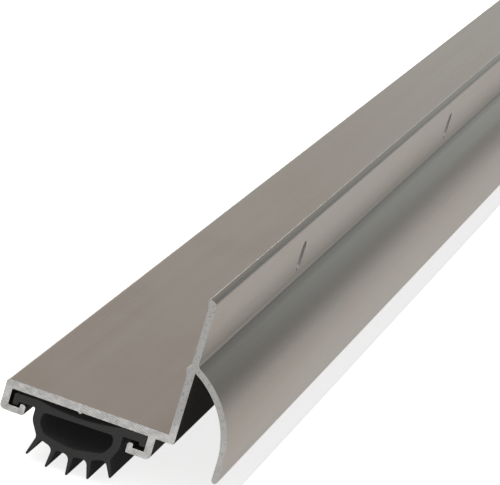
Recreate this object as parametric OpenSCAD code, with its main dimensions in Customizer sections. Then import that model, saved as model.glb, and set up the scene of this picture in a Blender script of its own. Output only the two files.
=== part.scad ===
// Door bottom sweep with a drip nose: an L-shaped aluminium carrier that wraps the foot of a door,
// and a hollow vinyl seal with fins that slides into the channel under it.
// +X points to the weather side, Y runs along the door and +Z is up. The origin is the inside corner,
// where the door's face meets its bottom edge, at mid length.

/* [Length] */
// Length of the sweep, cut to suit the door
sweep_len = 908; // [300:1:1220]

/* [Plate and channel] */
// Depth of the plate, from the door's face to the channel's inner side
plate_d = 42; // [34:0.5:60]
// Thickness of the plate
plate_t = 2.1; // [1.4:0.1:3.5]
// Thickness of the channel's two walls
wall_t = 1.9; // [1.2:0.1:3]
// Distance that the channel is set back from the door's face
channel_inset = 2.8; // [1:0.1:8]
// Clear height inside the channel
channel_h = 4.1; // [3.4:0.1:7]
// Thickness of the lips that hold the seal
lip_t = 1.6; // [1:0.1:3]
// Reach of each lip under the channel
lip_reach = 4.4; // [4:0.1:6]
// Width of the bead along the lip's edge
bead_w = 1.4; // [0.8:0.1:1.7]
// Height of the bead above the lip
bead_h = 1.1; // [0.4:0.1:1.4]
// Width of the centre rib on the roof of the channel
rib_w = 1.1; // [0.6:0.1:2]
// Height of the centre rib
rib_h = 0.4; // [0.2:0.1:0.6]

/* [Web and flange] */
// Thickness of the web beside the plate
web_t = 1.85; // [1.2:0.05:3]
// Height of the flange's top above the plate
flange_h = 35.3; // [33:0.1:60]
// Thickness of the flange that takes the screws
flange_t = 1.7; // [1.2:0.1:2.5]
// Distance that the flange stands off the door's face
flange_set = 0.4; // [0.2:0.1:1]
// Height of the flange's turned-in top edge
kick_h = 2.4; // [1.5:0.1:4]
// Distance that the top edge turns in towards the door
kick_in = 0.6; // [0.3:0.1:1]
// Distance that the top edge falls towards the weather side
top_fall = 0.4; // [0:0.1:0.6]
// Radius of the top edge on the weather side
top_round = 1.4; // [0.4:0.1:1.6]
// Height above the plate of the pointed bead that bites the door's face
nub_z = 16.95; // [10:0.05:19]
// Height of that bead where it leaves the web
nub_h = 2.2; // [1.4:0.1:3]
// Distance that the bead stands proud of the web
nub_out = 0.7; // [0.3:0.05:0.85]

/* [Drip nose] */
// Reach of the nose in front of the door's face
nose_reach = 14.7; // [11:0.1:20]
// Outer radius of the nose
nose_r = 23.6; // [21:0.1:27]
// Thickness of the nose
nose_t = 1.6; // [1:0.1:2.4]
// Depth of the radius centre below the top of the plate
nose_centre = 2.5; // [1:0.1:4]
// Depth of the nose's tip below the top of the plate
nose_drop = 7.9; // [6.5:0.1:12]
// Radius where the nose runs into the flange
nose_root = 2.5; // [0.5:0.1:3]

/* [Screw slots] */
// Number of slots along the flange, fewer where the sweep is too short for them
slot_count = 4; // [2:1:5]
// Distance between slots
slot_pitch = 228.6; // [120:0.1:240]
// Length of a slot, up the flange
slot_len = 8.5; // [7:0.1:11]
// Width of a slot
slot_w = 5.5; // [3:0.1:6.6]
// Height of the slots' middle above the plate
slot_z = 25.2; // [24:0.1:27]

/* [Vinyl seal] */
// Free play beside each foot of the seal, when it is centred
foot_side_gap = 0.6; // [0.5:0.05:0.9]
// Gap between the roof of the channel and the seal's arms
arm_top_gap = 0.46; // [0.44:0.02:0.8]
// Gap between the arms and the beads below them
arm_bead_gap = 0.6; // [0.45:0.05:0.9]
// Gap between the toes and the lips below them
toe_gap = 0.8; // [0.5:0.05:1.2]
// Width of the toe on each foot
toe_w = 1.4; // [1:0.1:1.5]
// Gap between the bulb's neck and each lip
neck_gap = 1.95; // [0.6:0.05:3]
// Sideways set of the seal in the channel, towards the weather side
seal_set = 0.35; // [0:0.05:0.4]
// Tilt of the seal in the channel, in degrees
seal_tilt = 1.1; // [0:0.1:1.1]
// Depth of the hollow sag in the seal's top
sag = 1.2; // [0.5:0.1:2]
// Thickness of the bulb's top wall
top_wall = 1.25; // [1:0.05:2]
// Thickness of the bulb's side walls
side_wall = 1.95; // [1.2:0.05:2.5]
// Thickness of the bulb's bottom wall
bottom_wall = 1.6; // [1:0.05:2]
// Drop of the bulb's underside below the lips
bulb_drop = 5.6; // [4.6:0.1:8]
// Rise of the underside from its middle to its corners
bulb_rise = 2.2; // [1:0.1:3]

/* [Fins] */
// Number of fins
fin_count = 5; // [3:2:5]
// Distance of the outer fins' roots in from the bulb's sides
fin_edge = 2.35; // [1.8:0.05:3.5]
// Sideways set of the fins towards the weather side
fin_set = 0.3; // [0:0.1:0.6]
// Length of the middle fin
fin_len = 5; // [3:0.1:7]
// Spread of the tips, as a multiple of the spread of the roots
fin_spread = 1.2; // [1:0.05:1.3]
// Rise of the outer tips above the middle one
tip_rise = 2.45; // [1:0.05:3.5]
// Turn of the row of tips about the middle one, in degrees
fin_turn = 2.2; // [0:0.1:3]
// Thickness of a fin at the root
fin_root_w = 1.1; // [0.9:0.1:1.8]
// Thickness of a fin at the tip
fin_tip_w = 0.56; // [0.4:0.02:0.8]

/* [Hidden] */
$fn = 48;
// degrees of turn in each straight piece of a round corner or arc
turn = 10;
cut = 1;

// channel
inner_x = -plate_d + wall_t;
outer_x = -channel_inset - wall_t;
channel_w = outer_x - inner_x;
channel_mid = (outer_x + inner_x) / 2;
roof_z = -plate_t;
lip_z = roof_z - channel_h;
foot_z = lip_z - lip_t;
bead_z = lip_z + bead_h;
bead_round = bead_w / 2 - 0.1;
foot_round = 1.2;

// flange and nose
flange_x = flange_set + flange_t;
nose_x = nose_reach - nose_r;
nose_in_r = nose_r - nose_t;
root_angle = acos((flange_x - nose_x) / nose_r);
slot_end = 25;
slots = min(slot_count, floor((sweep_len - 2 * slot_end) / slot_pitch) + 1);

// seal, about the middle of its own width; it tilts and sets sideways no further than the channel lets it
least_gap = 0.1;
foot_x = channel_w / 2 - foot_side_gap;
bulb_x = channel_w / 2 - lip_reach - neck_gap;
arm_z = roof_z - arm_top_gap;
arm_under_z = bead_z + arm_bead_gap;
toe_z = lip_z + toe_gap;
tilt = min(seal_tilt, asin((arm_top_gap - least_gap) / foot_x));
seal_x = channel_mid + min(seal_set, foot_side_gap - least_gap - (arm_z - toe_z) * sin(tilt));
neck_z = foot_z + lip_t / 8;
under_z = foot_z - bulb_drop;
fin_half = (fin_count - 1) / 2;
fin_pitch = (bulb_x - fin_edge) / fin_half;
under_r = arc_radius(bulb_x - fin_edge + fin_root_w / 2, bulb_rise);
tips_r = arc_radius((bulb_x - fin_edge) * fin_spread, tip_rise);
fin_left_round = 1.6;
fin_right_round = 0.8;
hollow_x = bulb_x - side_wall;
hollow_top = arm_z - sag - top_wall;
hollow_low = under_z + bottom_wall;
// heights of the hollow's widest point and of its heels, as shares of its height
hollow_mid_z = hollow_top - 0.37 * (hollow_top - hollow_low);
hollow_heel_z = hollow_top - 0.78 * (hollow_top - hollow_low);
hollow_heel_in = 1.7;
sag_x = bulb_x - side_wall / 3;
sag_r = arc_radius(sag_x, sag);

// Radius of an arc that spans half_width each side of its middle and rises by that much
function arc_radius(half_width, rise) = (half_width * half_width + rise * rise) / (2 * rise);

// Height on such an arc at x, above its middle
function arc_rise(x, r) = r - sqrt(r * r - x * x);

// Points on an arc about [x, z], each with no corner radius
function arc(x, z, r, from, to) =
    let (n = ceil(abs(to - from) / turn * 2))
    [for (i = [0:n]) let (a = from + (to - from) * i / n) [x + r * cos(a), z + r * sin(a), 0]];

// One corner [x, z, radius] as points on its fillet, which never takes over half of a side
function fillet(before, corner, after) =
    let (
        p = [corner[0], corner[1]],
        a = [before[0], before[1]] - p,
        b = [after[0], after[1]] - p,
        u = a / norm(a),
        v = b / norm(b),
        half = acos(max(-1, min(1, u * v))) / 2
    )
    corner[2] <= 0 || half > 89.5 ? [p] :
    let (
        reach = min(corner[2] / tan(half), 0.49 * norm(a), 0.49 * norm(b)),
        r = reach * tan(half),
        centre = p + (u + v) / norm(u + v) * r / sin(half),
        start = p + u * reach - centre,
        side = u[0] * v[1] - u[1] * v[0] > 0 ? -1 : 1,
        sweep = side * (180 - 2 * half),
        n = max(1, ceil(abs(sweep) / turn))
    )
    [for (i = [0:n]) let (t = sweep * i / n)
        centre + [start[0] * cos(t) - start[1] * sin(t), start[0] * sin(t) + start[1] * cos(t)]];

// A closed outline from corners [x, z, radius]
function outline(c) =
    [for (i = [0:len(c) - 1]) each fillet(c[(i + len(c) - 1) % len(c)], c[i], c[(i + 1) % len(c)])];

// Extrudes an X-Z outline along the whole sweep
module along_door() {
    rotate([90, 0, 0])
        linear_extrude(height = sweep_len, center = true)
            children();
}

function channel_corners() = [
    [-plate_d, 0, 0.8],
    [-plate_d, foot_z, foot_round],
    [inner_x + lip_reach, foot_z, 0.45],
    [inner_x + lip_reach, bead_z, bead_round],
    [inner_x + lip_reach - bead_w, bead_z, bead_round / 2],
    [inner_x + lip_reach - bead_w, lip_z, 0.15],
    [inner_x, lip_z, 0.2],
    [inner_x, roof_z, 0.15],
    [channel_mid - rib_w / 2, roof_z, 0],
    [channel_mid - rib_w / 8, roof_z - rib_h, 0.15],
    [channel_mid + rib_w / 8, roof_z - rib_h, 0.15],
    [channel_mid + rib_w / 2, roof_z, 0],
    [outer_x, roof_z, 0.15],
    [outer_x, lip_z, 0.2],
    [outer_x - lip_reach + bead_w, lip_z, 0.15],
    [outer_x - lip_reach + bead_w, bead_z, bead_round / 2],
    [outer_x - lip_reach, bead_z, bead_round],
    [outer_x - lip_reach, foot_z, 0.3],
    [-channel_inset, foot_z, foot_round],
    [-channel_inset, roof_z, 0.15],
    [web_t, roof_z, 0.4]
];

function nose_corners() = concat(
    arc(nose_x, -nose_centre, nose_in_r, acos((web_t - nose_x) / nose_in_r), 0),
    [[nose_reach - nose_t, -nose_drop, 0.48 * nose_t], [nose_reach, -nose_drop, 0.48 * nose_t]],
    arc(nose_x, -nose_centre, nose_r, 0, root_angle - turn / 2),
    [[flange_x, -nose_centre + nose_r * sin(root_angle), nose_root]]
);

function flange_corners() = [
    [flange_x, flange_h - top_fall, top_round],
    [flange_set - kick_in, flange_h, 0.4],
    [flange_set, flange_h - kick_h, 1.2],
    [flange_set, nub_z + nub_h / 2 - 0.1, 0.3],
    [-nub_out, nub_z, 0.35],
    [0, nub_z - nub_h / 2 - 0.2, 0.4],
    [0, 0, 0]
];

module screw_slots() {
    for (i = [0:slots - 1])
        translate([0, (i - (slots - 1) / 2) * slot_pitch, slot_z]) {
            for (end = [-1, 1])
                translate([-cut, 0, end * (slot_len - slot_w) / 2])
                    rotate([0, 90, 0])
                        cylinder(h = flange_x + 2 * cut, d = slot_w);
            translate([-cut, -slot_w / 2, -(slot_len - slot_w) / 2])
                cube([flange_x + 2 * cut, slot_w, slot_len - slot_w]);
        }
}

module aluminium_carrier() {
    color([0.56, 0.53, 0.49])
        difference() {
            along_door()
                polygon(outline(concat(channel_corners(), nose_corners(), flange_corners())));
            screw_slots();
        }
}

// Height of the bulb's underside at x
function under(x) = under_z + arc_rise(x, under_r);

// The four corners of one fin, from left to right
function fin_corners(i) =
    let (
        root = i * fin_pitch + fin_set,
        out = i * fin_pitch * fin_spread,
        rise = arc_rise(out, tips_r),
        tip = [
            fin_set + out * cos(fin_turn) - rise * sin(fin_turn),
            under_z - fin_len + out * sin(fin_turn) + rise * cos(fin_turn)
        ],
        d = tip - [root, under(root)],
        across = [d[1], -d[0]] / norm(d) * fin_tip_w / 2,
        left = root - fin_root_w / 2,
        right = root + fin_root_w / 2
    )
    [
        [left, under(left), fin_left_round],
        [tip[0] + across[0], tip[1] + across[1], fin_tip_w / 2],
        [tip[0] - across[0], tip[1] - across[1], fin_tip_w / 2],
        [right, under(right), fin_right_round]
    ];

// The door-side foot, and its mirror image when side is -1
function foot_corners(side) = [
    [-side * foot_x, arm_z, 0.4],
    [-side * foot_x, toe_z, 0.35],
    [-side * (foot_x - toe_w), toe_z, 0.35],
    [-side * (foot_x - toe_w), arm_under_z, 0.3],
    [-side * bulb_x, arm_under_z, 0.45],
    [-side * bulb_x, neck_z, 4]
];

function seal_corners() =
    let (right = foot_corners(-1), half_turn = asin(sag_x / sag_r))
    concat(
        foot_corners(1),
        [for (i = [-fin_half:fin_half]) each fin_corners(i)],
        [for (i = [len(right) - 1:-1:0]) right[i]],
        arc(0, arm_z - sag + sag_r, sag_r, -90 + half_turn, -90 - half_turn)
    );

function hollow_corners() = [
    [-hollow_x + 0.4, hollow_top, 1.1],
    [-hollow_x - 0.1, hollow_mid_z, 2.5],
    [-hollow_x + hollow_heel_in, hollow_heel_z, 2.5],
    [0, hollow_low, 15],
    [hollow_x - hollow_heel_in, hollow_heel_z, 2.5],
    [hollow_x + 0.1, hollow_mid_z, 2.5],
    [hollow_x - 0.4, hollow_top, 1.1]
];

module vinyl_seal() {
    color([0.2, 0.2, 0.2])
        along_door()
            translate([seal_x, arm_z])
                rotate(tilt)
                    translate([0, -arm_z])
                        difference() {
                            polygon(outline(seal_corners()));
                            polygon(outline(hollow_corners()));
                        }
}

aluminium_carrier();
vinyl_seal();
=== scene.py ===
"""Door bottom sweep: an aluminium carrier with a drip nose and a finned vinyl seal.

Each piece dresses its node of the CAD frame. Sizes in the classes are millimetres, as a die drawing
gives them, and meshes are built in metres. +X is the weather side, Y runs along the door and +Z is up.
The origin is the inside corner of plate and web, at mid length.
"""

from __future__ import annotations

import logging
import math
from dataclasses import dataclass, field
from enum import Enum
from typing import Any, Iterable, Sequence

import bpy
from mathutils import Matrix, Vector


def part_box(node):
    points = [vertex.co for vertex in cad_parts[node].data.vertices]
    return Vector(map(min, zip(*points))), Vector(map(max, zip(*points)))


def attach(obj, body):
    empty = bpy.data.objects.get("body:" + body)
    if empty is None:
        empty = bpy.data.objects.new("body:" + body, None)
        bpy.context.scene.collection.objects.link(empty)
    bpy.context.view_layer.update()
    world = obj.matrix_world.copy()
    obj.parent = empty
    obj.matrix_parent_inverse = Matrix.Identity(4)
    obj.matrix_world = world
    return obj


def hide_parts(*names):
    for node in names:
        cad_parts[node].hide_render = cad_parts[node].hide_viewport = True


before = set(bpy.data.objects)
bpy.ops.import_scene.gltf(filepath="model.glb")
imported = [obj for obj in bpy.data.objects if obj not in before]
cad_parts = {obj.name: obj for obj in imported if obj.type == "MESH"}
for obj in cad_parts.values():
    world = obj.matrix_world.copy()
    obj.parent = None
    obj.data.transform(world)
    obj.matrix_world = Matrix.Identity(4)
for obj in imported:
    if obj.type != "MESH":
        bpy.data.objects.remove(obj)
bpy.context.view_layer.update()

LOG = logging.getLogger("door_sweep")
MM = 0.001

# Arcs and fillets: degrees between points, and the radius in mm above which a fillet is drawn finely.
FINE_TURN = 2.5
COARSE_TURN = 7.5
BROAD_RADIUS = 3.0
# A corner whose half angle is above this, in degrees, is too flat to round.
FLAT_HALF = 89.5
# The most of each side that a fillet may take.
REACH_SHARE = 0.49
# Guard points beside a fillet: their distance in mm, the most of the rest of a side, and the least kept.
GUARD_REACH = 0.12
GUARD_SHARE = 0.25
GUARD_LEAST = 0.01
# An edge that turns by more than this, in degrees, stays crisp.
SHARP_DEGREES = 32.0
# Distance in metres under which two points of a drawn section are one.
WELD = 1e-7

Colour = tuple[float, float, float]
Span = tuple[float, float]
Point = tuple[float, float]
Corner = tuple[float, float, float]


class Side(Enum):
    """The two sides of the seal, as the sign of X."""

    DOOR = -1
    WEATHER = 1


# ---------------------------------------------------------------- outlines


def arc(x: float, z: float, radius: float, start: float, end: float) -> list[Corner]:
    """Points on an arc, each with no corner radius.

    Args:
        x: Centre across the section.
        z: Centre height.
        radius: Radius of the arc.
        start: First angle in degrees, 0 towards +X and 90 upwards.
        end: Last angle in degrees.

    Returns:
        Corners [x, z, 0] from the first angle to the last.
    """
    steps = max(1, math.ceil(abs(end - start) / FINE_TURN))
    angles = [math.radians(start + (end - start) * i / steps) for i in range(steps + 1)]
    return [(x + radius * math.cos(a), z + radius * math.sin(a), 0.0) for a in angles]


def arc_radius(half_width: float, rise: float) -> float:
    """Radius of an arc that spans half_width each side of its middle and rises by that much."""
    return (half_width**2 + rise**2) / (2 * rise)


def arc_rise(x: float, radius: float) -> float:
    """Height above its middle, at x, of an arc of that radius."""
    return radius - math.sqrt(radius * radius - x * x)


def fillet(before: Corner, corner: Corner, after: Corner) -> list[Point]:
    """One corner as points on its fillet, with a guard point each side that keeps the flats flat.

    Args:
        before: The corner before this one.
        corner: The corner to round, with its radius.
        after: The corner after this one.

    Returns:
        The points that replace the corner.
    """
    p = Vector(corner[:2])
    a, b = Vector(before[:2]) - p, Vector(after[:2]) - p
    half = a.angle(b) / 2
    if corner[2] <= 0 or half > math.radians(FLAT_HALF):
        return [(p.x, p.y)]
    reach = min(corner[2] / math.tan(half), REACH_SHARE * a.length, REACH_SHARE * b.length)
    radius = reach * math.tan(half)
    u, v = a.normalized(), b.normalized()
    centre = p + (u + v).normalized() * (radius / math.sin(half))
    start = p + u * reach - centre
    sweep = math.pi - 2 * half
    if u.x * v.y - u.y * v.x > 0:
        sweep = -sweep
    step = FINE_TURN if radius > BROAD_RADIUS else COARSE_TURN
    count = max(2, math.ceil(math.degrees(abs(sweep)) / step))
    points = []
    for i in range(count + 1):
        turn = Matrix.Rotation(sweep * i / count, 2)
        q = centre + turn @ start
        points.append((q.x, q.y))
    guard = min(GUARD_REACH, GUARD_SHARE * (a.length - reach), GUARD_SHARE * (b.length - reach))
    if guard > GUARD_LEAST:
        first, last = p + u * (reach + guard), p + v * (reach + guard)
        points = [(first.x, first.y), *points, (last.x, last.y)]
    return points


def outline(corners: Sequence[Corner]) -> list[Point]:
    """A closed outline from its corners.

    Args:
        corners: The corners in order, each with its own radius.

    Returns:
        The outline's points.
    """
    count = len(corners)
    points: list[Point] = []
    for i, corner in enumerate(corners):
        points += fillet(corners[i - 1], corner, corners[(i + 1) % count])
    return points


def section_curve(name: str, outlines: Iterable[Sequence[Point]]) -> bpy.types.Object:
    """A flat curve object that holds a section's outlines, in metres, for a tree to fill.

    Args:
        name: Name of the object.
        outlines: Closed outlines in millimetres; an inner one is a hollow.

    Returns:
        The curve object, linked to the scene.
    """
    data = bpy.data.curves.new(name, "CURVE")
    data.dimensions = "2D"
    data.fill_mode = "NONE"
    for points in outlines:
        spline = data.splines.new("POLY")
        spline.points.add(len(points) - 1)
        for target, (x, z) in zip(spline.points, points):
            target.co = (x * MM, z * MM, 0.0, 1.0)
        spline.use_cyclic_u = True
    made = bpy.data.objects.new(name, data)
    bpy.context.scene.collection.objects.link(made)
    return made


# ---------------------------------------------------------------- trees


class Signal:
    """One output socket, on which Python arithmetic adds Math nodes."""

    def __init__(self, graph: "Graph", socket: bpy.types.NodeSocket) -> None:
        """Keeps the graph and the socket that gives the value."""
        self.graph = graph
        self.socket = socket

    def _math(self, operation: str, *values: Any) -> "Signal":
        """A Math node of that operation on these values."""
        node = self.graph.add("ShaderNodeMath", {"operation": operation}, dict(enumerate(values)))
        return Signal(self.graph, node.outputs[0])

    def __add__(self, other: Any) -> "Signal":
        """self + other."""
        return self._math("ADD", self, other)

    def __radd__(self, other: Any) -> "Signal":
        """other + self."""
        return self._math("ADD", other, self)

    def __sub__(self, other: Any) -> "Signal":
        """self - other."""
        return self._math("SUBTRACT", self, other)

    def __rsub__(self, other: Any) -> "Signal":
        """other - self."""
        return self._math("SUBTRACT", other, self)

    def __mul__(self, other: Any) -> "Signal":
        """self * other."""
        return self._math("MULTIPLY", self, other)

    def __rmul__(self, other: Any) -> "Signal":
        """other * self."""
        return self._math("MULTIPLY", other, self)

    def __abs__(self) -> "Signal":
        """self without its sign."""
        return self._math("ABSOLUTE", self)

    def sign(self) -> "Signal":
        """-1, 0 or 1, as self is below, at or above zero."""
        return self._math("SIGN", self)

    def sine(self) -> "Signal":
        """The sine of self, in radians."""
        return self._math("SINE", self)

    def swing(self, amount: float) -> "Signal":
        """self, which runs from 0 to 1, as a change of that much in all about zero."""
        return (self - 0.5) * amount

    def band(self, low: Span, high: Span) -> "Signal":
        """1 between two spans and 0 outside them, smooth across each."""
        return self.rises(*low) * (1 - self.rises(*high))

    def rises(self, low: float, high: float) -> "Signal":
        """A smooth step.

        Args:
            low: Where it leaves 0.
            high: Where it reaches 1.

        Returns:
            The step, as a Signal from 0 to 1.
        """
        node = self.graph.add(
            "ShaderNodeMapRange",
            {"interpolation_type": "SMOOTHSTEP"},
            {"Value": self, "From Min": low, "From Max": high},
        )
        return Signal(self.graph, node.outputs["Result"])


class Graph:
    """A node tree with one method that makes any node."""

    def __init__(self, tree: bpy.types.NodeTree) -> None:
        """Takes an empty tree."""
        self.tree = tree

    def add(
        self, kind: str, settings: dict[str, Any] | None = None, values: dict[Any, Any] | None = None
    ) -> bpy.types.Node:
        """Any node.

        Args:
            kind: The node's type.
            settings: Its settings, set first; a ramp's stops come as "stops".
            values: What its input sockets take, by name or index: a value, a socket or a Signal.

        Returns:
            The new node.
        """
        node = self.tree.nodes.new(kind)
        for name, value in (settings or {}).items():
            if name == "stops":
                self._stops(node, value)
            else:
                setattr(node, name, value)
        for name, value in (values or {}).items():
            self.feed(node.inputs[name], value)
        return node

    @staticmethod
    def _stops(node: bpy.types.Node, stops: Sequence[tuple[float, Sequence[float]]]) -> None:
        """Sets a colour ramp's stops."""
        ramp = node.color_ramp
        while len(ramp.elements) < len(stops):
            ramp.elements.new(0.5)
        for element, (place, colour) in zip(ramp.elements, stops):
            element.position = place
            element.color = (*colour, 1.0)

    def feed(self, socket: bpy.types.NodeSocket, value: Any) -> None:
        """Links a socket, or sets its value.

        Args:
            socket: The input socket.
            value: A Signal or a socket to link, or a plain value.
        """
        if isinstance(value, Signal):
            value = value.socket
        if isinstance(value, bpy.types.NodeSocket):
            self.tree.links.new(value, socket)
        else:
            socket.default_value = value

    def mix(self, amount: Any, first: Any, second: Any) -> bpy.types.NodeSocket:
        """The colour between two others.

        Args:
            amount: 0 for the first, 1 for the second.
            first: A colour or a socket.
            second: A colour or a socket.

        Returns:
            The mixed colour's socket.
        """
        node = self.add("ShaderNodeMix", {"data_type": "RGBA"})
        for index, value in ((0, amount), (6, first), (7, second)):
            if isinstance(value, tuple):
                value = (*value, 1.0)
            self.feed(node.inputs[index], value)
        return node.outputs[2]

    def vector(self, **axes: Any) -> bpy.types.NodeSocket:
        """A vector from what X, Y and Z take, zero where none is given."""
        return self.add("ShaderNodeCombineXYZ", None, axes).outputs[0]

    def along(self, vector: Any, axis: str) -> Signal:
        """A vector's part along one axis."""
        return Signal(self, self.add("ShaderNodeSeparateXYZ", None, {0: vector}).outputs[axis])


@dataclass(frozen=True)
class Grain:
    """A noise: its cycles for each millimetre along each axis, and how broken it is."""

    scale: tuple[float, float, float]
    detail: float = 3.0
    rough: float = 0.55
    warp: float = 0.0


class Finish(Graph):
    """A material's tree, with the object's own coordinates at hand in millimetres."""

    def __init__(self, name: str) -> None:
        """Makes an empty material of that name."""
        self.material = bpy.data.materials.new(name)
        self.material.use_nodes = True
        self.material.node_tree.nodes.clear()
        super().__init__(self.material.node_tree)
        place = self.add("ShaderNodeTexCoord").outputs["Object"]
        self.place = self.add(
            "ShaderNodeVectorMath", {"operation": "SCALE"}, {0: place, "Scale": 1 / MM}
        ).outputs[0]

    def axis(self, name: str) -> Signal:
        """One coordinate, in millimetres."""
        return self.along(self.place, name)

    def noise(self, grain: Grain) -> Signal:
        """Noise of a grain.

        Args:
            grain: How fine and how broken it is.

        Returns:
            The noise, from 0 to 1.
        """
        stretched = self.add(
            "ShaderNodeVectorMath", {"operation": "MULTIPLY"}, {0: self.place, 1: grain.scale}
        )
        values = {
            "Vector": stretched.outputs[0],
            "Scale": 1.0,
            "Detail": grain.detail,
            "Roughness": grain.rough,
            "Distortion": grain.warp,
        }
        return Signal(self, self.add("ShaderNodeTexNoise", None, values).outputs["Fac"])

    def bump(self, height: Signal, depth: float) -> bpy.types.NodeSocket:
        """A normal from a height of 0 to 1 that stands for that many millimetres."""
        values = {"Strength": 1.0, "Distance": depth * MM, "Height": height}
        return self.add("ShaderNodeBump", None, values).outputs["Normal"]

    def surface(self, **sockets: Any) -> bpy.types.Material:
        """Closes the tree with a Principled shader.

        Args:
            sockets: Its inputs, with underscores for spaces.

        Returns:
            The finished material.
        """
        values = {name.replace("_", " "): value for name, value in sockets.items()}
        shader = self.add("ShaderNodeBsdfPrincipled", None, values)
        self.add("ShaderNodeOutputMaterial", None, {"Surface": shader.outputs[0]})
        return self.material


# ---------------------------------------------------------------- finishes


@dataclass(frozen=True)
class SatinSkin:
    """Satin anodised aluminium as it leaves the die: warm nickel grey with long, faint draw lines.

    Its colour carries painted shade: darker along the flange's top edge, and darker on the flange's weather
    face in the corner above the drip nose, most at the seam with it.
    """

    warm: Colour = (0.50, 0.455, 0.405)
    cool: Colour = (0.53, 0.50, 0.455)
    tone_span: Span = (0.38, 0.62)
    broad_tone: float = 0.4
    smudge_tone: float = 0.6
    draw_line: Colour = (0.30, 0.28, 0.26)
    draw_line_span: Span = (0.60, 0.78)
    draw_line_strength: float = 0.15
    # Painted shade: between these heights the flange's top edge is coloured darker, in place of the shade
    # on its rounded top.
    painted_top_shade: Colour = (0.42, 0.405, 0.365)
    top_edge: Span = (34.3, 34.8)
    # Painted shade: the flange's weather face is coloured darker in the corner above the drip nose, most at
    # the seam with it.
    painted_corner_shade: Colour = (0.26, 0.245, 0.22)
    corner_shade_from: Span = (17.2, 18.6)
    corner_shade_to: Span = (19.5, 28.5)
    corner_shade_x: Span = (1.5, 1.9)
    corner_shade_strength: float = 0.48
    seam_shade_from: Span = (17.0, 17.6)
    seam_shade_to: Span = (18.8, 20.0)
    seam_shade_strength: float = 0.3
    roughness: float = 0.295
    line_rough: float = 0.10
    smudge_rough: float = 0.06
    pore_rough: float = 0.05
    line_height: float = 0.75
    pore_height: float = 0.25
    depth: float = 0.004
    lines: Grain = Grain((3.2, 0.004, 3.2), 4.0, 0.6)
    broad: Grain = Grain((0.16, 0.0035, 0.16), 2.0, 0.5)
    pores: Grain = Grain((9.0, 5.0, 9.0), 2.0, 0.7)
    smudges: Grain = Grain((0.03, 0.012, 0.03), 3.0, 0.55, 0.6)

    def make(self) -> bpy.types.Material:
        """The material."""
        f = Finish("satin_aluminium")
        lines, broad = f.noise(self.lines), f.noise(self.broad)
        pores, smudge = f.noise(self.pores), f.noise(self.smudges)
        tone = (broad * self.broad_tone + smudge * self.smudge_tone).rises(*self.tone_span)
        colour = f.mix(tone, self.warm, self.cool)
        drawn = lines.rises(*self.draw_line_span) * self.draw_line_strength
        colour = f.mix(drawn, colour, self.draw_line)
        x, z = f.axis("X"), f.axis("Z")
        # Painted shade along the flange's top edge.
        colour = f.mix(z.rises(*self.top_edge), colour, self.painted_top_shade)
        # Painted shade in the corner above the drip nose, strongest at the seam.
        face = x.rises(*self.corner_shade_x)
        corner = z.band(self.corner_shade_from, self.corner_shade_to) * face
        seam_shade = z.band(self.seam_shade_from, self.seam_shade_to) * face
        colour = f.mix(corner * self.corner_shade_strength + seam_shade * self.seam_shade_strength, colour, self.painted_corner_shade)
        rough = self.roughness + lines.swing(self.line_rough) + smudge.swing(self.smudge_rough)
        rough = rough + pores.swing(self.pore_rough)
        normal = f.bump(lines * self.line_height + pores * self.pore_height, self.depth)
        return f.surface(Base_Color=colour, Metallic=1.0, Roughness=rough, Normal=normal)


@dataclass(frozen=True)
class SawnFace:
    """Bare aluminium as the saw leaves it, with tooth marks and pits.

    It is pale along the plate and the channel, and darker up the web and out along the nose.
    """

    pale: Colour = (0.80, 0.785, 0.765)
    deep: Colour = (0.47, 0.465, 0.45)
    tone_span: Span = (0.36, 0.62)
    tooth_tone: float = 0.07
    score_tone: float = 0.5
    patch_tone: float = 0.5
    tooth_pitch: float = 0.5
    saw_way: tuple[float, float] = (0.34, 0.94)
    saw_wander: float = 1.2
    web_z: Span = (1.0, 5.0)
    nose_x: Span = (3.0, 7.0)
    nose_share: float = 0.8
    darkening: float = 0.96
    pit: Colour = (0.18, 0.18, 0.175)
    pit_span: Span = (0.55, 0.66)
    pit_strength: float = 0.32
    pit_more: float = 0.42
    metallic: float = 0.82
    roughness: float = 0.46
    score_rough: float = 0.22
    patch_rough: float = 0.12
    tooth_height: float = 0.16
    score_height: float = 0.5
    pit_height: float = 0.34
    depth: float = 0.03
    wander: Grain = Grain((0.18, 0.18, 0.18), 2.0, 0.5)
    scores: Grain = Grain((0.8, 1.0, 4.5), 4.0, 0.65)
    pits: Grain = Grain((2.6, 2.6, 2.6), 3.0, 0.7)
    patches: Grain = Grain((0.55, 0.55, 0.55), 3.0, 0.6)

    def make(self) -> bpy.types.Material:
        """The material."""
        f = Finish("sawn_aluminium")
        x, z = f.axis("X"), f.axis("Z")
        way_x, way_z = self.saw_way
        across = x * way_x + z * way_z + f.noise(self.wander) * self.saw_wander
        tooth = (across * (math.tau / self.tooth_pitch)).sine()
        score, pits, patch = f.noise(self.scores), f.noise(self.pits), f.noise(self.patches)
        tone = tooth * self.tooth_tone + score * self.score_tone + patch * self.patch_tone
        up_web = z.rises(*self.web_z)
        shaded = up_web + (1 - up_web) * x.rises(*self.nose_x) * self.nose_share
        colour = f.mix(tone.rises(*self.tone_span) * (1 - shaded * self.darkening), self.deep, self.pale)
        pitted = pits.rises(*self.pit_span) * (self.pit_strength + shaded * self.pit_more)
        colour = f.mix(pitted, colour, self.pit)
        rough = self.roughness + score.swing(self.score_rough) + patch.swing(self.patch_rough)
        height = tooth * self.tooth_height + score * self.score_height + pits * self.pit_height
        normal = f.bump(height, self.depth)
        return f.surface(Base_Color=colour, Metallic=self.metallic, Roughness=rough, Normal=normal)


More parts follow.
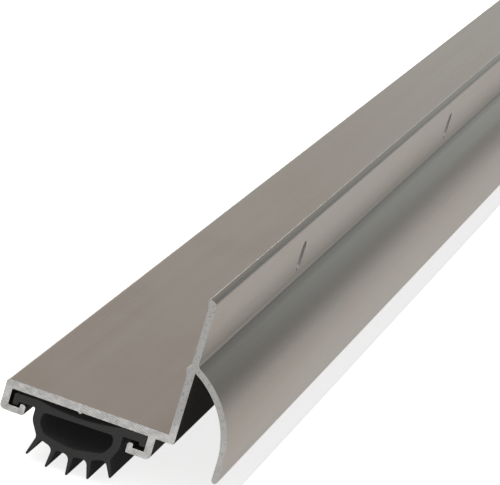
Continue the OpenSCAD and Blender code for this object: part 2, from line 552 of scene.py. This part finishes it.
@dataclass(frozen=True)
class PunchedEdge:
    """The wall of a punched slot: bare metal, torn on the door side and smoother on the weather side."""

    torn: Colour = (0.30, 0.29, 0.28)
    smooth: Colour = (0.42, 0.41, 0.39)
    smooth_x: Span = (0.9, 1.3)
    smooth_strength: float = 0.5
    metallic: float = 0.9
    roughness: float = 0.52
    smooth_rough: float = 0.16
    drag_rough: float = 0.2
    depth: float = 0.012
    drags: Grain = Grain((0.8, 9.0, 9.0), 3.0, 0.6)

    def make(self) -> bpy.types.Material:
        """The material."""
        f = Finish("punched_slot_wall")
        drag, smooth = f.noise(self.drags), f.axis("X").rises(*self.smooth_x)
        colour = f.mix(smooth * self.smooth_strength, self.torn, self.smooth)
        rough = self.roughness - smooth * self.smooth_rough + drag.swing(self.drag_rough)
        normal = f.bump(drag, self.depth)
        return f.surface(Base_Color=colour, Metallic=self.metallic, Roughness=rough, Normal=normal)


@dataclass(frozen=True)
class VinylSkin:
    """Flexible charcoal vinyl as extruded: matt, with faint die lines and a trace of bloom, and a faint
    painted glow that lifts its blacks.
    """

    colour: Colour = (0.030, 0.030, 0.031)
    bloom: Colour = (0.055, 0.055, 0.056)
    bloom_span: Span = (0.45, 0.75)
    bloom_strength: float = 0.6
    # Painted light: a faint glow that lifts the vinyl's blacks, though it is no lamp.
    painted_glow_colour: Colour = (1.0, 0.99, 0.98)
    painted_glow: float = 0.006
    specular: float = 0.35
    roughness: float = 0.50
    peel_rough: float = 0.16
    dust_rough: float = 0.12
    line_height: float = 0.6
    peel_height: float = 0.4
    depth: float = 0.012
    lines: Grain = Grain((4.0, 0.006, 4.0), 3.0, 0.6)
    peel: Grain = Grain((2.6, 1.6, 2.6), 3.0, 0.6)
    dust: Grain = Grain((0.12, 0.03, 0.12), 4.0, 0.6, 0.4)

    def make(self) -> bpy.types.Material:
        """The material."""
        f = Finish("charcoal_vinyl")
        lines, peel, dust = f.noise(self.lines), f.noise(self.peel), f.noise(self.dust)
        colour = f.mix(dust.rises(*self.bloom_span) * self.bloom_strength, self.colour, self.bloom)
        rough = self.roughness + peel.swing(self.peel_rough) + dust.swing(self.dust_rough)
        return f.surface(
            Base_Color=colour,
            Roughness=rough,
            Normal=f.bump(lines * self.line_height + peel * self.peel_height, self.depth),
            Specular_IOR_Level=self.specular,
            # Painted light: the vinyl glows faintly.
            Emission_Color=(*self.painted_glow_colour, 1.0),
            Emission_Strength=self.painted_glow,
        )


@dataclass(frozen=True)
class KnifeCut:
    """The cut end of the vinyl: nearly as dark as its skin, with faint drag ripples from the blade."""

    colour: Colour = (0.024, 0.0235, 0.023)
    drag: Colour = (0.046, 0.045, 0.044)
    tone_span: Span = (0.38, 0.72)
    ripple_tone: float = 0.03
    cut_way: tuple[float, float] = (0.9, -0.4)
    cut_wander: float = 2.5
    ripple_turn: float = 7.0
    specular: float = 0.4
    roughness: float = 0.62
    crumb_rough: float = 0.2
    ripple_height: float = 0.06
    crumb_height: float = 0.55
    depth: float = 0.03
    wander: Grain = Grain((0.25, 0.25, 0.25), 2.0, 0.5)
    crumbs: Grain = Grain((3.5, 3.5, 3.5), 3.0, 0.65)

    def make(self) -> bpy.types.Material:
        """The material."""
        f = Finish("cut_vinyl")
        way_x, way_z = self.cut_way
        across = f.axis("X") * way_x + f.axis("Z") * way_z + f.noise(self.wander) * self.cut_wander
        ripple, crumb = (across * self.ripple_turn).sine(), f.noise(self.crumbs)
        colour = f.mix((ripple * self.ripple_tone + crumb).rises(*self.tone_span), self.colour, self.drag)
        return f.surface(
            Base_Color=colour,
            Roughness=self.roughness + crumb.swing(self.crumb_rough),
            Normal=f.bump(ripple * self.ripple_height + crumb * self.crumb_height, self.depth),
            Specular_IOR_Level=self.specular,
        )


@dataclass(frozen=True)
class PaleFloor:
    """A plain pale studio floor, which glows a little so that it stays even."""

    colour: Colour = (0.93, 0.93, 0.925)
    glow: float = 0.8
    roughness: float = 0.9
    specular: float = 0.1

    def make(self) -> bpy.types.Material:
        """The material."""
        return Finish("pale_floor").surface(
            Base_Color=(*self.colour, 1.0),
            Roughness=self.roughness,
            Specular_IOR_Level=self.specular,
            Emission_Color=(1.0, 1.0, 1.0, 1.0),
            Emission_Strength=self.glow,
        )


@dataclass(frozen=True)
class BlackCloth:
    """Black cloth that gives no light back."""

    colour: Colour = (0.01, 0.01, 0.01)

    def make(self) -> bpy.types.Material:
        """The material."""
        return Finish("black_cloth").surface(Base_Color=(*self.colour, 1.0), Roughness=1.0)


# ---------------------------------------------------------------- extrusion tree


class ExtrusionTree(Graph):
    """Fills a flat section, draws it along Y and, where asked, punches a row of slots through it."""

    # Points round a slot, and how square to Y and how far out an end's face is.
    SLOT_POINTS = 64
    END_FACING = 0.99
    END_PLACE = 0.499

    def __init__(self, name: str, with_slots: bool) -> None:
        """Builds the tree.

        Args:
            name: Name of the tree.
            with_slots: Whether the row of slots is punched.
        """
        super().__init__(bpy.data.node_groups.new(name, "GeometryNodeTree"))
        face = self.tree.interface
        face.new_socket(name="Geometry", in_out="INPUT", socket_type="NodeSocketGeometry")
        numbers = ["Length"]
        if with_slots:
            numbers += ["Slot pitch", "Slot length", "Slot width", "Slot height", "Punch depth"]
        for label in numbers:
            face.new_socket(name=label, in_out="INPUT", socket_type="NodeSocketFloat")
        if with_slots:
            face.new_socket(name="Slots", in_out="INPUT", socket_type="NodeSocketInt")
        for label in ("Skin", "Cut end", "Slot wall"):
            face.new_socket(name=label, in_out="INPUT", socket_type="NodeSocketMaterial")
        face.new_socket(name="Geometry", in_out="OUTPUT", socket_type="NodeSocketGeometry")
        self.given = self.add("NodeGroupInput").outputs
        body = self._drawn(self.given["Geometry"])
        if with_slots:
            body = self._punched(body)
        body = self.add("GeometryNodeRealizeInstances", None, {"Geometry": body}).outputs[0]
        if not with_slots:
            body = self._with_material(body, self.given["Skin"])
        body = self._with_material(body, self.given["Cut end"], self._end_faces())
        self.add("NodeGroupOutput", None, {"Geometry": self._shaded(body)})

    def _closed_prism(self, flat: Any, height: Any) -> bpy.types.NodeSocket:
        """A prism, closed at its foot.

        Args:
            flat: A filled flat section.
            height: How far it is drawn up.

        Returns:
            The welded prism.
        """
        drawn = self.add(
            "GeometryNodeExtrudeMesh",
            {"mode": "FACES"},
            {"Mesh": flat, "Offset": self.vector(Z=height), "Individual": False},
        )
        foot = self.add("GeometryNodeFlipFaces", None, {"Mesh": flat}).outputs[0]
        joined = self.add("GeometryNodeJoinGeometry")
        self.feed(joined.inputs[0], drawn.outputs["Mesh"])
        self.feed(joined.inputs[0], foot)
        weld = {"Geometry": joined.outputs[0], "Distance": WELD}
        return self.add("GeometryNodeMergeByDistance", None, weld).outputs[0]

    def _moved(self, geometry: Any, **how: Any) -> bpy.types.NodeSocket:
        """The geometry with a Translation, a Rotation or both."""
        return self.add("GeometryNodeTransform", None, {"Geometry": geometry, **how}).outputs[0]

    def _drawn(self, curve: Any) -> bpy.types.NodeSocket:
        """The section drawn out.

        Args:
            curve: The flat outlines.

        Returns:
            The section, filled, drawn to length and turned so that it runs along Y, centred.
        """
        flat = self.add("GeometryNodeFillCurve", {"mode": "NGONS"}, {0: curve}).outputs[0]
        length = Signal(self, self.given["Length"])
        prism = self._closed_prism(flat, length)
        return self._moved(prism, Translation=self.vector(Y=length * 0.5), Rotation=(math.pi / 2, 0.0, 0.0))

    def _punch(self) -> bpy.types.NodeSocket:
        """One punch: an upright slot's shape, drawn along X and centred on the flange."""
        sizes = ("Slot length", "Slot width", "Slot height", "Punch depth")
        length, width, height, depth = (Signal(self, self.given[name]) for name in sizes)
        round_end = {"Resolution": self.SLOT_POINTS, "Radius": width * 0.5}
        ring = self.add("GeometryNodeCurvePrimitiveCircle", None, round_end)
        place = self.add("GeometryNodeInputPosition").outputs[0]
        shift = self.vector(Y=self.along(place, "Y").sign() * ((length - width) * 0.5))
        slot = self.add("GeometryNodeSetPosition", None, {"Geometry": ring.outputs[0], "Offset": shift})
        flat = self.add("GeometryNodeFillCurve", {"mode": "NGONS"}, {0: slot.outputs[0]}).outputs[0]
        upright = self._moved(self._closed_prism(flat, depth), Rotation=(math.pi / 2, 0.0, math.pi / 2))
        return self._moved(upright, Translation=self.vector(X=depth * -0.5, Z=height))

    def _punched(self, body: Any) -> bpy.types.NodeSocket:
        """The body with its slots.

        Args:
            body: The drawn section.

        Returns:
            The body in its skin, with a centred row of slots punched through it along X.
        """
        count, pitch = Signal(self, self.given["Slots"]), Signal(self, self.given["Slot pitch"])
        row = self.add(
            "GeometryNodeMeshLine",
            {"mode": "OFFSET"},
            {
                "Count": count,
                "Start Location": self.vector(Y=(count - 1) * pitch * -0.5),
                "Offset": self.vector(Y=pitch),
            },
        )
        punches = self.add(
            "GeometryNodeInstanceOnPoints", None, {"Points": row.outputs[0], "Instance": self._punch()}
        )
        solid = self.add("GeometryNodeRealizeInstances", None, {"Geometry": punches.outputs[0]}).outputs[0]
        cut = self.add(
            "GeometryNodeMeshBoolean",
            {"operation": "DIFFERENCE", "solver": "EXACT"},
            {
                "Mesh 1": self._with_material(body, self.given["Skin"]),
                "Mesh 2": self._with_material(solid, self.given["Slot wall"]),
            },
        )
        return cut.outputs["Mesh"]

    def _above(self, value: Any, limit: Any) -> bpy.types.NodeSocket:
        """Where a value is greater than a limit."""
        values = {"A": value, "B": limit}
        return self.add("FunctionNodeCompare", {"operation": "GREATER_THAN"}, values).outputs[0]

    def _end_faces(self) -> bpy.types.NodeSocket:
        """Which faces look along Y and lie at an end, that is the two sawn ends."""
        normal = self.add("GeometryNodeInputNormal").outputs[0]
        place = self.add("GeometryNodeInputPosition").outputs[0]
        looks = self._above(abs(self.along(normal, "Y")), self.END_FACING)
        edge = Signal(self, self.given["Length"]) * self.END_PLACE
        outer = self._above(abs(self.along(place, "Y")), edge)
        return self.add("FunctionNodeBooleanMath", {"operation": "AND"}, {0: looks, 1: outer}).outputs[0]

    def _with_material(self, geometry: Any, material: Any, where: Any = None) -> bpy.types.NodeSocket:
        """The geometry in a material.

        Args:
            geometry: The geometry.
            material: The material's socket.
            where: Which faces take it, or None for all.

        Returns:
            The dressed geometry.
        """
        values = {"Geometry": geometry, "Material": material}
        if where is not None:
            values["Selection"] = where
        return self.add("GeometryNodeSetMaterial", None, values).outputs[0]

    def _shaded(self, geometry: Any) -> bpy.types.NodeSocket:
        """The geometry with smooth faces, and with every edge sharper than the limit kept crisp."""
        smooth = self.add(
            "GeometryNodeSetShadeSmooth", {"domain": "FACE"}, {"Geometry": geometry, "Shade Smooth": True}
        ).outputs[0]
        angle = self.add("GeometryNodeInputMeshEdgeAngle").outputs["Unsigned Angle"]
        crisp = self._above(angle, math.radians(SHARP_DEGREES))
        values = {"Geometry": smooth, "Selection": crisp, "Shade Smooth": False}
        return self.add("GeometryNodeSetShadeSmooth", {"domain": "EDGE"}, values).outputs[0]


def draw_out(
    name: str, outlines: Iterable[Sequence[Point]], tree: ExtrusionTree, inputs: dict[str, Any]
) -> bpy.types.Object:
    """A section drawn out by a tree and turned into a plain mesh object.

    Args:
        name: Name of the finished piece.
        outlines: The section's outlines, in millimetres.
        tree: The extrusion tree.
        inputs: Values of the tree's named inputs.

    Returns:
        The finished mesh object at the origin.
    """
    section = section_curve(f"{name}_section", outlines)
    modifier = section.modifiers.new("extrusion", "NODES")
    modifier.node_group = tree.tree
    sockets = tree.tree.interface.items_tree
    idents = {item.name: item.identifier for item in sockets if item.in_out == "INPUT"}
    for label, value in inputs.items():
        modifier[idents[label]] = value
    ready = section.evaluated_get(bpy.context.evaluated_depsgraph_get())
    mesh = bpy.data.meshes.new_from_object(ready)
    mesh.name = name
    section.modifiers.clear()
    bpy.data.objects.remove(section)
    piece = bpy.data.objects.new(name, mesh)
    bpy.context.scene.collection.objects.link(piece)
    return piece


# ---------------------------------------------------------------- pieces


@dataclass
class Channel:
    """The plate under the door and the open channel below it, in millimetres."""

    depth: float = 42.0
    plate: float = 2.1
    wall: float = 1.9
    inset: float = 2.8
    clear: float = 4.1
    lip: float = 1.6
    lip_reach: float = 4.4
    bead_width: float = 1.4
    bead_height: float = 1.1
    rib_width: float = 1.1
    rib_height: float = 0.4
    bead_lean: float = 0.1
    plate_round: float = 0.8
    foot_round: float = 1.2
    lip_round: tuple[float, float] = (0.45, 0.3)
    inner_round: float = 0.15
    lip_root_round: float = 0.2
    web_round: float = 0.4

    @property
    def left(self) -> float:
        """Inner face of the wall on the door's inside."""
        return -self.depth + self.wall

    @property
    def right(self) -> float:
        """Inner face of the wall next to the web."""
        return -self.inset - self.wall

    @property
    def middle(self) -> float:
        """Middle of the channel."""
        return (self.left + self.right) / 2

    @property
    def roof(self) -> float:
        """Height of the channel's roof."""
        return -self.plate

    @property
    def lip_top(self) -> float:
        """Height of the lips' upper face."""
        return self.roof - self.clear

    @property
    def foot(self) -> float:
        """Height of the lips' under face."""
        return self.lip_top - self.lip

    @property
    def bead_top(self) -> float:
        """Height of the beads' crown."""
        return self.lip_top + self.bead_height

    def corners(self, web: float) -> list[Corner]:
        """The channel's half of the outline, from the plate's outer edge round to the web's foot.

        Args:
            web: Thickness of the web beside the plate.

        Returns:
            Corners with their radii.
        """
        crown, inner = self.bead_width / 2 - self.bead_lean, self.inner_round
        left_edge, right_edge = self.left + self.lip_reach, self.right - self.lip_reach
        left_round, right_round = self.lip_round
        return [
            (-self.depth, 0.0, self.plate_round),
            (-self.depth, self.foot, self.foot_round),
            (left_edge, self.foot, left_round),
            (left_edge, self.bead_top, crown),
            (left_edge - self.bead_width, self.bead_top, crown / 2),
            (left_edge - self.bead_width, self.lip_top, inner),
            (self.left, self.lip_top, self.lip_root_round),
            (self.left, self.roof, inner),
            (self.middle - self.rib_width / 2, self.roof, 0.0),
            (self.middle - self.rib_width / 8, self.roof - self.rib_height, inner),
            (self.middle + self.rib_width / 8, self.roof - self.rib_height, inner),
            (self.middle + self.rib_width / 2, self.roof, 0.0),
            (self.right, self.roof, inner),
            (self.right, self.lip_top, self.lip_root_round),
            (right_edge + self.bead_width, self.lip_top, inner),
            (right_edge + self.bead_width, self.bead_top, crown / 2),
            (right_edge, self.bead_top, crown),
            (right_edge, self.foot, right_round),
            (-self.inset, self.foot, self.foot_round),
            (-self.inset, self.roof, inner),
            (web, self.roof, self.web_round),
        ]


@dataclass
class Carrier:
    """The aluminium extrusion: plate and channel, web and screw flange, and the drip nose."""

    channel: Channel
    length: float
    web: float = 1.85
    flange_height: float = 35.3
    flange: float = 1.7
    flange_set: float = 0.4
    kick_height: float = 2.4
    kick_in: float = 0.6
    top_fall: float = 0.4
    top_round: float = 1.4
    peak_round: float = 0.4
    kick_round: float = 1.2
    bite_z: float = 16.95
    bite_height: float = 2.2
    bite_out: float = 0.7
    bite_shift: tuple[float, float] = (-0.1, -0.2)
    bite_round: tuple[float, float, float] = (0.3, 0.35, 0.4)
    nose_reach: float = 14.7
    nose_radius: float = 23.6
    nose: float = 1.6
    nose_centre: float = 2.5
    nose_drop: float = 7.9
    tip_share: float = 0.48
    nose_root: float = 2.5
    root_turn: float = 5.0
    slots: int = 4
    slot_pitch: float = 228.6
    slot_length: float = 8.5
    slot_width: float = 5.5
    slot_z: float = 25.2
    punch_depth: float = 8.0

    def nose_corners(self) -> list[Corner]:
        """The curved drip nose, down its inside and back up its face."""
        x, inner = self.nose_reach - self.nose_radius, self.nose_radius - self.nose
        flange_face = self.flange_set + self.flange
        inside_start = math.degrees(math.acos((self.web - x) / inner))
        face_end = math.degrees(math.acos((flange_face - x) / self.nose_radius))
        root_z = self.nose_radius * math.sin(math.radians(face_end)) - self.nose_centre
        tip = self.tip_share * self.nose
        return [
            *arc(x, -self.nose_centre, inner, inside_start, 0.0),
            (self.nose_reach - self.nose, -self.nose_drop, tip),
            (self.nose_reach, -self.nose_drop, tip),
            *arc(x, -self.nose_centre, self.nose_radius, 0.0, face_end - self.root_turn),
            (flange_face, root_z, self.nose_root),
        ]

    def flange_corners(self) -> list[Corner]:
        """The screw flange with its turned-in top and the pointed bead that bites the door."""
        half = self.bite_height / 2
        upper, lower = self.bite_shift
        above, point, below = self.bite_round
        return [
            (self.flange_set + self.flange, self.flange_height - self.top_fall, self.top_round),
            (self.flange_set - self.kick_in, self.flange_height, self.peak_round),
            (self.flange_set, self.flange_height - self.kick_height, self.kick_round),
            (self.flange_set, self.bite_z + half + upper, above),
            (-self.bite_out, self.bite_z, point),
            (0.0, self.bite_z - half + lower, below),
            (0.0, 0.0, 0.0),
        ]

    def build(self) -> bpy.types.Object:
        """The finished piece, riding on the carrier body."""
        corners = [*self.channel.corners(self.web), *self.nose_corners(), *self.flange_corners()]
        piece = draw_out(
            "aluminium_carrier_finish",
            [outline(corners)],
            ExtrusionTree("carrier_extrusion", with_slots=True),
            {
                "Length": self.length * MM,
                "Slot pitch": self.slot_pitch * MM,
                "Slot length": self.slot_length * MM,
                "Slot width": self.slot_width * MM,
                "Slot height": self.slot_z * MM,
                "Punch depth": self.punch_depth * MM,
                "Slots": self.slots,
                "Skin": SatinSkin().make(),
                "Cut end": SawnFace().make(),
                "Slot wall": PunchedEdge().make(),
            },
        )
        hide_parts("aluminium_carrier")
        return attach(piece, "carrier")


@dataclass
class Seal:
    """The vinyl insert: two feet, a hollow bulb and its fins."""

    channel: Channel
    length: float
    foot_side_gap: float = 0.6
    arm_top_gap: float = 0.46
    arm_bead_gap: float = 0.6
    toe_gap: float = 0.8
    toe: float = 1.4
    neck_gap: float = 1.95
    set_out: float = 0.35
    tilt: float = 1.1
    sag: float = 1.2
    top_wall: float = 1.25
    side_wall: float = 1.95
    bottom_wall: float = 1.6
    bulb_drop: float = 5.6
    bulb_rise: float = 2.2
    fins: int = 5
    fin_edge: float = 2.35
    fin_set: float = 0.3
    fin_length: float = 5.0
    fin_spread: float = 1.2
    tip_rise: float = 2.45
    fin_turn: float = 2.2
    fin_root: float = 1.1
    fin_tip: float = 0.56
    fin_left_round: float = 1.6
    fin_right_round: float = 0.8
    mid_share: float = 0.37
    heel_share: float = 0.78
    heel_in: float = 1.7
    arm_round: float = 0.4
    toe_round: float = 0.35
    arm_under_round: float = 0.3
    neck_top_round: float = 0.45
    shoulder_round: float = 4.0
    hollow_top_in: float = 0.4
    hollow_mid_out: float = 0.1
    hollow_top_round: float = 1.1
    hollow_side_round: float = 2.5
    hollow_low_round: float = 15.0

    foot_x: float = field(init=False)
    bulb_x: float = field(init=False)
    arm_z: float = field(init=False)
    under_z: float = field(init=False)

    def __post_init__(self) -> None:
        """Works out the widths and heights that the channel gives."""
        half = (self.channel.right - self.channel.left) / 2
        self.foot_x = half - self.foot_side_gap
        self.bulb_x = half - self.channel.lip_reach - self.neck_gap
        self.arm_z = self.channel.roof - self.arm_top_gap
        self.under_z = self.channel.foot - self.bulb_drop

    def foot_corners(self, side: Side) -> list[Corner]:
        """One foot, from its top to the bulb's neck.

        Args:
            side: The side that the foot is on.

        Returns:
            Corners with their radii.
        """
        s = side.value
        toe_z = self.channel.lip_top + self.toe_gap
        arm_under = self.channel.bead_top + self.arm_bead_gap
        neck_z = self.channel.foot + self.channel.lip / 8
        return [
            (s * self.foot_x, self.arm_z, self.arm_round),
            (s * self.foot_x, toe_z, self.toe_round),
            (s * (self.foot_x - self.toe), toe_z, self.toe_round),
            (s * (self.foot_x - self.toe), arm_under, self.arm_under_round),
            (s * self.bulb_x, arm_under, self.neck_top_round),
            (s * self.bulb_x, neck_z, self.shoulder_round),
        ]

    def fin_corners(self, step: float) -> list[Corner]:
        """One fin.

        Args:
            step: How many places it is from the middle fin, below zero towards the door side.

        Returns:
            Corners with their radii.
        """
        half = (self.fins - 1) / 2
        edge = self.bulb_x - self.fin_edge
        under_r = arc_radius(edge + self.fin_root / 2, self.bulb_rise)
        tips_r = arc_radius(edge * self.fin_spread, self.tip_rise)
        root = step * edge / half + self.fin_set
        out = step * edge / half * self.fin_spread
        turn = math.radians(self.fin_turn)
        rise = arc_rise(out, tips_r)
        tip_x = self.fin_set + out * math.cos(turn) - rise * math.sin(turn)
        tip_z = self.under_z - self.fin_length + out * math.sin(turn) + rise * math.cos(turn)
        tip = Vector((tip_x, tip_z))
        down = (tip - Vector((root, self.under_z + arc_rise(root, under_r)))).normalized()
        across = Vector((down.y, -down.x)) * self.fin_tip / 2
        left, right = root - self.fin_root / 2, root + self.fin_root / 2
        return [
            (left, self.under_z + arc_rise(left, under_r), self.fin_left_round),
            (tip.x + across.x, tip.y + across.y, self.fin_tip / 2),
            (tip.x - across.x, tip.y - across.y, self.fin_tip / 2),
            (right, self.under_z + arc_rise(right, under_r), self.fin_right_round),
        ]

    def outer(self) -> list[Point]:
        """The outer outline about the seal's own middle."""
        half = (self.fins - 1) // 2
        corners = self.foot_corners(Side.DOOR)
        for step in range(-half, half + 1):
            corners += self.fin_corners(step)
        corners += reversed(self.foot_corners(Side.WEATHER))
        sag_x = self.bulb_x - self.side_wall / 3
        sag_r = arc_radius(sag_x, self.sag)
        turn = math.degrees(math.asin(sag_x / sag_r))
        corners += arc(0.0, self.arm_z - self.sag + sag_r, sag_r, -90 + turn, -90 - turn)
        return outline(corners)

    def hollow(self) -> list[Point]:
        """The outline of the bulb's hollow."""
        x = self.bulb_x - self.side_wall
        top = self.arm_z - self.sag - self.top_wall
        low = self.under_z + self.bottom_wall
        mid_z, heel_z = top - self.mid_share * (top - low), top - self.heel_share * (top - low)
        top_x, mid_x, heel_x = x - self.hollow_top_in, x + self.hollow_mid_out, x - self.heel_in
        side = [
            (top_x, top, self.hollow_top_round),
            (mid_x, mid_z, self.hollow_side_round),
            (heel_x, heel_z, self.hollow_side_round),
        ]
        mirrored = [(-x, z, radius) for x, z, radius in side]
        return outline([*mirrored, (0.0, low, self.hollow_low_round), *reversed(side)])

    def seated(self, points: Sequence[Point]) -> list[Point]:
        """An outline as the seal sits in its channel.

        Args:
            points: The outline about the seal's own middle.

        Returns:
            The outline, tilted and set in place.
        """
        turn = Matrix.Rotation(math.radians(self.tilt), 2)
        pivot = Vector((0.0, self.arm_z))
        seat = Vector((self.channel.middle + self.set_out, self.arm_z))
        return [tuple(seat + turn @ (Vector(p) - pivot)) for p in points]

    def build(self) -> bpy.types.Object:
        """The finished piece, riding on the seal body."""
        piece = draw_out(
            "vinyl_seal_finish",
            [self.seated(self.outer()), self.seated(self.hollow())],
            ExtrusionTree("seal_extrusion", with_slots=False),
            {"Length": self.length * MM, "Skin": VinylSkin().make(), "Cut end": KnifeCut().make()},
        )
        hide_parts("vinyl_seal")
        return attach(piece, "seal")


# ---------------------------------------------------------------- studio


@dataclass(frozen=True)
class SoftBox:
    """A rectangle of soft light that hangs in the studio, in metres, unseen by the camera."""

    name: str
    place: Corner
    aim: Corner
    size: tuple[float, float]
    power: float
    colour: Colour = (1.0, 1.0, 1.0)

    def hang(self) -> bpy.types.Object:
        """The light, turned to its aim."""
        data = bpy.data.lights.new(self.name, "AREA")
        data.shape = "RECTANGLE"
        data.size, data.size_y = self.size
        data.energy = self.power
        data.color = self.colour
        lamp = bpy.data.objects.new(self.name, data)
        lamp.visible_camera = False
        lamp.location = self.place
        lamp.rotation_euler = (Vector(self.aim) - Vector(self.place)).to_track_quat("-Z", "Y").to_euler()
        bpy.context.scene.collection.objects.link(lamp)
        return lamp


@dataclass
class Studio:
    """The pale floor, the black blind, the soft light and the camera, in metres.

    The room's light depends on the way it comes from: a pair of numbers is where it changes smoothly,
    along one axis of that way, from one colour to the next.
    """

    floor_size: float = 40.0
    eye: Corner = (0.14947, -1.36610, 0.27779)
    right: Corner = (0.93482, 0.21731, 0.28088)
    up: Corner = (-0.32116, 0.17977, 0.92981)
    lens: float = 288.0
    sensor: float = 36.0
    clip: Span = (0.05, 100.0)

    wall_high: Colour = (0.285, 0.215, 0.185)
    wall_low: Colour = (0.74, 0.80, 0.79)
    wall_z: Span = (0.20, 0.26)
    ahead_y: Span = (0.0, 0.4)
    horizon: Colour = (0.42, 0.405, 0.39)
    horizon_x: Span = (0.0, 0.15)
    flag: Colour = (0.07, 0.074, 0.076)
    flag_way: tuple[float, float] = (0.77, 0.63)
    flag_slant: Span = (0.20, 0.29)
    flag_z: Span = (0.07, 0.13)
    flag_top: Span = (0.55, 0.8)
    flag_ring: Span = (0.25**2, 0.305**2)
    left_horizon: Colour = (2.4, 2.4, 2.35)
    left_x: Span = (-0.30, -0.24)
    left_z: Span = (0.10, 0.20)
    ground: Colour = (0.035, 0.035, 0.035)
    ground_z: Span = (-0.03, 0.02)
    front: Colour = (0.78, 0.78, 0.78)
    front_y: Span = (-0.6, -0.15)
    front_z: Span = (-0.9, -0.6)

    overhead: Corner = (-0.3, 0.2, 2.6)
    overhead_size: tuple[float, float] = (3.0, 3.6)
    overhead_power: float = 60.0
    card_x: float = 0.016
    card_size: tuple[float, float] = (1.6, 8.0)
    card_near: float = 1.5
    card_lift: float = 0.0005
    card_glow: float = 0.56
    card_colour: Colour = (1.0, 0.96, 0.925)
    blind_set: float = 0.001
    blind_gap: float = 0.0008

    def camera(self) -> bpy.types.Object:
        """The camera, above and to the weather side of the near end, and rolled a little."""
        data = bpy.data.cameras.new("camera")
        data.lens, data.sensor_width = self.lens, self.sensor
        data.clip_start, data.clip_end = self.clip
        camera = bpy.data.objects.new("camera", data)
        x, y = Vector(self.right).normalized(), Vector(self.up).normalized()
        z = x.cross(y).normalized()
        y = z.cross(x)
        camera.matrix_world = Matrix.Translation(self.eye) @ Matrix((x, y, z)).transposed().to_4x4()
        bpy.context.scene.collection.objects.link(camera)
        bpy.context.scene.camera = camera
        return camera

    @staticmethod
    def sheet(name: str, corners: Sequence[Corner], material: bpy.types.Material) -> bpy.types.Object:
        """A flat sheet of the studio's own.

        Args:
            name: Name of the object.
            corners: Its four corners, in order.
            material: What it is made of.

        Returns:
            The sheet, linked to the scene.
        """
        mesh = bpy.data.meshes.new(name)
        mesh.from_pydata(corners, [], [(0, 1, 2, 3)])
        mesh.materials.append(material)
        made = bpy.data.objects.new(name, mesh)
        bpy.context.scene.collection.objects.link(made)
        return made

    def floor(self, height: float) -> bpy.types.Object:
        """A plain pale floor at the foot of the seal.

        Args:
            height: Height of the floor.

        Returns:
            The floor, which the camera sees and which neither lights nor shows in the sweep.
        """
        half = self.floor_size / 2
        corners = [(x * half, y * half, height) for x, y in ((-1, -1), (1, -1), (1, 1), (-1, 1))]
        floor = self.sheet("floor", corners, PaleFloor().make())
        floor.visible_glossy = False
        floor.visible_diffuse = False
        return floor

    def room(self) -> None:
        """The room's own light: a wall ahead, dim on the weather side, and open behind the camera."""
        world = bpy.data.worlds.new("room")
        world.use_nodes = True
        world.node_tree.nodes.clear()
        g = Graph(world.node_tree)
        way = g.add("ShaderNodeTexCoord").outputs["Generated"]
        x, y, z = (g.along(way, axis) for axis in "XYZ")
        ahead = y.rises(*self.ahead_y)
        flag_x, flag_up = self.flag_way
        slant = x * flag_x + z * flag_up
        off_axis = (x * x + z * z).rises(*self.flag_ring)
        weather_side = slant.rises(*self.flag_slant) * z.band(self.flag_z, self.flag_top) * off_axis * ahead
        left_glow = (1 - x.rises(*self.left_x)) * (1 - z.rises(*self.left_z)) * ahead
        low_right = x.rises(*self.horizon_x) * (1 - z.rises(*self.flag_z)) * ahead
        behind = (1 - y.rises(*self.front_y)) * z.rises(*self.front_z)
        colour = g.mix(z.rises(*self.wall_z), self.wall_low, self.wall_high)
        colour = g.mix(low_right, colour, self.horizon)
        colour = g.mix(weather_side, colour, self.flag)
        colour = g.mix(left_glow, colour, self.left_horizon)
        colour = g.mix(z.rises(*self.ground_z), self.ground, colour)
        colour = g.mix(behind, colour, self.front)
        back = g.add("ShaderNodeBackground", None, {"Color": colour, "Strength": 1.0})
        g.add("ShaderNodeOutputWorld", None, {"Surface": back.outputs[0]})
        bpy.context.scene.world = world

    def blind(self, floor_height: float, nose_foot: float, length: float) -> bpy.types.Object:
        """A thin black blind on the floor that keeps the card's glow from under the drip nose.

        Args:
            floor_height: Height of the floor.
            nose_foot: Height of the carrier's lowest point.
            length: Length of the sweep.

        Returns:
            The blind, which the camera does not see.
        """
        x, half, top = self.card_x - self.blind_set, length / 2, nose_foot - self.blind_gap
        corners = [(x, -half, floor_height), (x, half, floor_height), (x, half, top), (x, -half, top)]
        blind = self.sheet("blind", corners, BlackCloth().make())
        blind.visible_camera = False
        return blind

    def light(self, floor_height: float) -> list[bpy.types.Object]:
        """The soft boxes: a broad one overhead and a glowing card on the floor beside the drip nose.

        Args:
            floor_height: Height of the floor.

        Returns:
            The lights.
        """
        width, length = self.card_size
        x, y = self.card_x + width / 2, length / 2 - self.card_near
        power = math.pi * width * length * self.card_glow
        boxes = [
            SoftBox("overhead", self.overhead, (0.0, 0.0, 0.0), self.overhead_size, self.overhead_power),
            SoftBox(
                "floor_card",
                (x, y, floor_height + self.card_lift),
                (x, y, 1.0),
                self.card_size,
                power,
                self.card_colour,
            ),
        ]
        return [box.hang() for box in boxes]


def main() -> None:
    """Builds the studio and the two pieces, in order."""
    logging.basicConfig(level=logging.INFO, format="%(message)s")
    bpy.context.scene.view_settings.view_transform = "Standard"
    studio = Studio()
    studio.camera()
    low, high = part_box("vinyl_seal")
    studio.floor(low.z)
    studio.room()
    studio.light(low.z)
    studio.blind(low.z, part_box("aluminium_carrier")[0].z, high.y - low.y)
    channel = Channel()
    length = (high.y - low.y) / MM
    for maker in (Carrier(channel, length), Seal(channel, length)):
        piece = maker.build()
        LOG.info("%s: %d faces", piece.name, len(piece.data.polygons))


if __name__ == "__main__":
    main()
